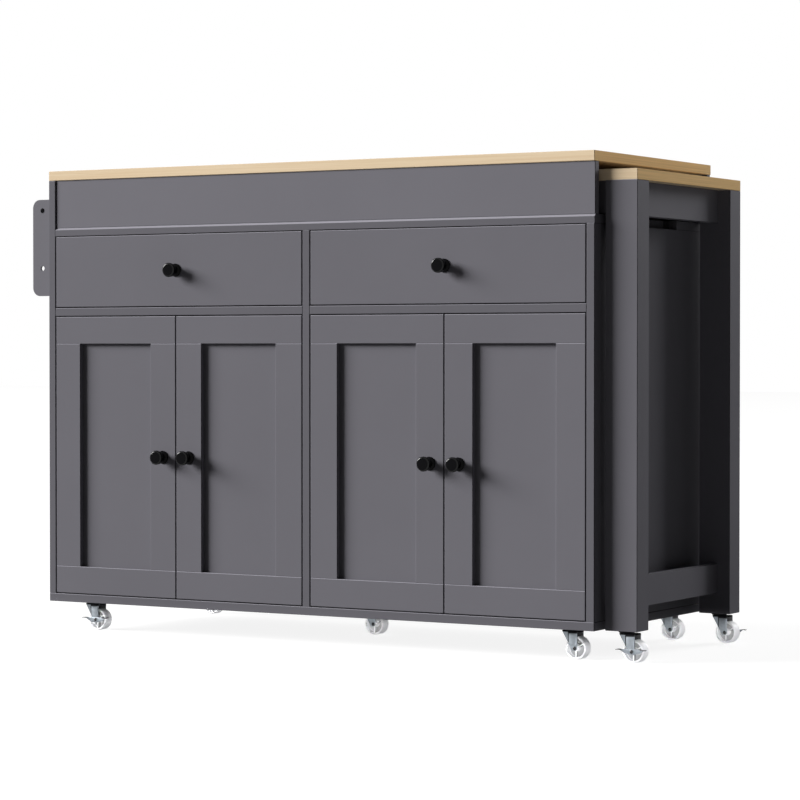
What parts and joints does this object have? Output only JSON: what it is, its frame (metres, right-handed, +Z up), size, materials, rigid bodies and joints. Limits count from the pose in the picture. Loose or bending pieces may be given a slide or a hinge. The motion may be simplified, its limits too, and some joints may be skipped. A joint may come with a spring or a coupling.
{
  "type": "rolling kitchen island",
  "caption": "Rolling kitchen island: board cabinet with inset drawers and panelled doors, towel rack, swivel casters and a table that pulls out of one end.",
  "frame": {"origin": "on the floor under the middle of the overall box, with the table pushed in", "axes": "+X along the cabinet towards the table's end, -Y out of the front with the doors and drawers, +Z up"},
  "size_m": [1.37, 0.529, 0.9255],
  "materials": {
    "pale_wood": "clear satin lacquer",
    "painted_board": "satin paint on board",
    "rack_steel": "powder coated",
    "bar_steel": "black coating",
    "knob_black": "satin black",
    "zinc_steel": "zinc plated",
    "wheel_plastic": "translucent",
    "black_plastic": "moulded"
  },
  "bodies": {
    "cabinet": {"worktop": "pale_wood", "left_side_panel": "painted_board", "right_side_panel": "painted_board", "centre_divider": "painted_board", "bottom_panel": "painted_board", "deck_panel": "painted_board", "mid_rails": "painted_board", "front_fascia": "painted_board", "rear_fascia": "painted_board", "back_panel": "painted_board", "shelves": "painted_board", "shelf_pins": "black_plastic", "rack_end_plates": "rack_steel", "towel_bar": "bar_steel", "hinge_arms": "zinc_steel", "cabinet_runners": "zinc_steel", "cabinet_caster_mounts": "zinc_steel"},
    "table": {"table_top": "pale_wood", "table_legs": "painted_board", "table_end_boards": "painted_board", "table_side_rails": "painted_board", "table_glides": "black_plastic", "table_caster_mounts": "zinc_steel"},
    "drawer_left": {"drawer_front_left": "painted_board", "drawer_box_left": "painted_board", "drawer_knob_left": "knob_black", "drawer_runners_left": "zinc_steel"},
    "drawer_right": {"drawer_front_right": "painted_board", "drawer_box_right": "painted_board", "drawer_knob_right": "knob_black", "drawer_runners_right": "zinc_steel"},
    "door_1": {"door_1": "painted_board", "door_knob_1": "knob_black", "hinge_cups_1": "zinc_steel"},
    "door_2": {"door_2": "painted_board", "door_knob_2": "knob_black", "hinge_cups_2": "zinc_steel"},
    "door_3": {"door_3": "painted_board", "door_knob_3": "knob_black", "hinge_cups_3": "zinc_steel"},
    "door_4": {"door_4": "painted_board", "door_knob_4": "knob_black", "hinge_cups_4": "zinc_steel"},
    "fork_front_left": {"caster_fork_front_left": "zinc_steel"},
    "wheel_front_left": {"caster_wheel_front_left": "wheel_plastic"},
    "brake_front_left": {"caster_brake_front_left": "zinc_steel"},
    "fork_front_right": {"caster_fork_front_right": "zinc_steel"},
    "wheel_front_right": {"caster_wheel_front_right": "wheel_plastic"},
    "fork_middle": {"caster_fork_middle": "zinc_steel"},
    "wheel_middle": {"caster_wheel_middle": "wheel_plastic"},
    "fork_rear_left": {"caster_fork_rear_left": "zinc_steel"},
    "wheel_rear_left": {"caster_wheel_rear_left": "wheel_plastic"},
    "fork_rear_right": {"caster_fork_rear_right": "zinc_steel"},
    "wheel_rear_right": {"caster_wheel_rear_right": "wheel_plastic"},
    "fork_table_front": {"caster_fork_table_front": "zinc_steel"},
    "wheel_table_front": {"caster_wheel_table_front": "wheel_plastic"},
    "brake_table_front": {"caster_brake_table_front": "zinc_steel"},
    "fork_table_rear": {"caster_fork_table_rear": "zinc_steel"},
    "wheel_table_rear": {"caster_wheel_table_rear": "wheel_plastic"},
    "brake_table_rear": {"caster_brake_table_rear": "zinc_steel"}
  },
  "joints": [
    {"name": "table_slide", "type": "slide", "parent": "cabinet", "child": "table", "axis": [1, 0, 0], "range_m": [0, 1]},
    {"name": "drawer_slide_left", "type": "slide", "parent": "cabinet", "child": "drawer_left", "axis": [0, -1, 0], "range_m": [0, 0.3]},
    {"name": "drawer_slide_right", "type": "slide", "parent": "cabinet", "child": "drawer_right", "axis": [0, -1, 0], "range_m": [0, 0.3]},
    {"name": "door_hinge_1", "type": "hinge", "parent": "cabinet", "child": "door_1", "pos_m": [-0.5975, -0.2295, 0.3535], "axis": [0, 0, -1], "range_deg": [0, 88]},
    {"name": "door_hinge_2", "type": "hinge", "parent": "cabinet", "child": "door_2", "pos_m": [-0.0525, -0.2295, 0.3535], "axis": [0, 0, 1], "range_deg": [0, 88]},
    {"name": "door_hinge_3", "type": "hinge", "parent": "cabinet", "child": "door_3", "pos_m": [0.0105, -0.2295, 0.3535], "axis": [0, 0, -1], "range_deg": [0, 88]},
    {"name": "door_hinge_4", "type": "hinge", "parent": "cabinet", "child": "door_4", "pos_m": [0.5555, -0.2295, 0.3535], "axis": [0, 0, 1], "range_deg": [0, 88]},
    {"name": "swivel_front_left", "type": "hinge", "parent": "cabinet", "child": "fork_front_left", "pos_m": [-0.563, -0.1895, 0.0575], "axis": [0, 0, 1], "continuous": true},
    {"name": "wheel_spin_front_left", "type": "hinge", "parent": "fork_front_left", "child": "wheel_front_left", "pos_m": [-0.545, -0.1895, 0.021], "axis": [0, 1, 0], "continuous": true},
    {"name": "brake_rock_front_left", "type": "hinge", "parent": "fork_front_left", "child": "brake_front_left", "pos_m": [-0.545, -0.1895, 0.021], "axis": [0, 1, 0], "range_deg": [-12, 12]},
    {"name": "swivel_front_right", "type": "hinge", "parent": "cabinet", "child": "fork_front_right", "pos_m": [0.521, -0.1895, 0.0575], "axis": [0, 0, 1], "continuous": true},
    {"name": "wheel_spin_front_right", "type": "hinge", "parent": "fork_front_right", "child": "wheel_front_right", "pos_m": [0.539, -0.1895, 0.021], "axis": [0, 1, 0], "continuous": true},
    {"name": "swivel_middle", "type": "hinge", "parent": "cabinet", "child": "fork_middle", "pos_m": [-0.032, 0.0135, 0.0575], "axis": [0, 0, 1], "continuous": true},
    {"name": "wheel_spin_middle", "type": "hinge", "parent": "fork_middle", "child": "wheel_middle", "pos_m": [-0.014, 0.0135, 0.021], "axis": [0, 1, 0], "continuous": true},
    {"name": "swivel_rear_left", "type": "hinge", "parent": "cabinet", "child": "fork_rear_left", "pos_m": [-0.563, 0.2165, 0.0575], "axis": [0, 0, 1], "continuous": true},
    {"name": "wheel_spin_rear_left", "type": "hinge", "parent": "fork_rear_left", "child": "wheel_rear_left", "pos_m": [-0.545, 0.2165, 0.021], "axis": [0, 1, 0], "continuous": true},
    {"name": "swivel_rear_right", "type": "hinge", "parent": "cabinet", "child": "fork_rear_right", "pos_m": [0.521, 0.2165, 0.0575], "axis": [0, 0, 1], "continuous": true},
    {"name": "wheel_spin_rear_right", "type": "hinge", "parent": "fork_rear_right", "child": "wheel_rear_right", "pos_m": [0.539, 0.2165, 0.021], "axis": [0, 1, 0], "continuous": true},
    {"name": "swivel_table_front", "type": "hinge", "parent": "table", "child": "fork_table_front", "pos_m": [0.637, -0.189, 0.0575], "axis": [0, 0, 1], "continuous": true},
    {"name": "wheel_spin_table_front", "type": "hinge", "parent": "fork_table_front", "child": "wheel_table_front", "pos_m": [0.655, -0.189, 0.021], "axis": [0, 1, 0], "continuous": true},
    {"name": "brake_rock_table_front", "type": "hinge", "parent": "fork_table_front", "child": "brake_table_front", "pos_m": [0.655, -0.189, 0.021], "axis": [0, 1, 0], "range_deg": [-12, 12]},
    {"name": "swivel_table_rear", "type": "hinge", "parent": "table", "child": "fork_table_rear", "pos_m": [0.637, 0.216, 0.0575], "axis": [0, 0, 1], "continuous": true},
    {"name": "wheel_spin_table_rear", "type": "hinge", "parent": "fork_table_rear", "child": "wheel_table_rear", "pos_m": [0.655, 0.216, 0.021], "axis": [0, 1, 0], "continuous": true},
    {"name": "brake_rock_table_rear", "type": "hinge", "parent": "fork_table_rear", "child": "brake_table_rear", "pos_m": [0.655, 0.216, 0.021], "axis": [0, 1, 0], "range_deg": [-12, 12]}
  ]
}
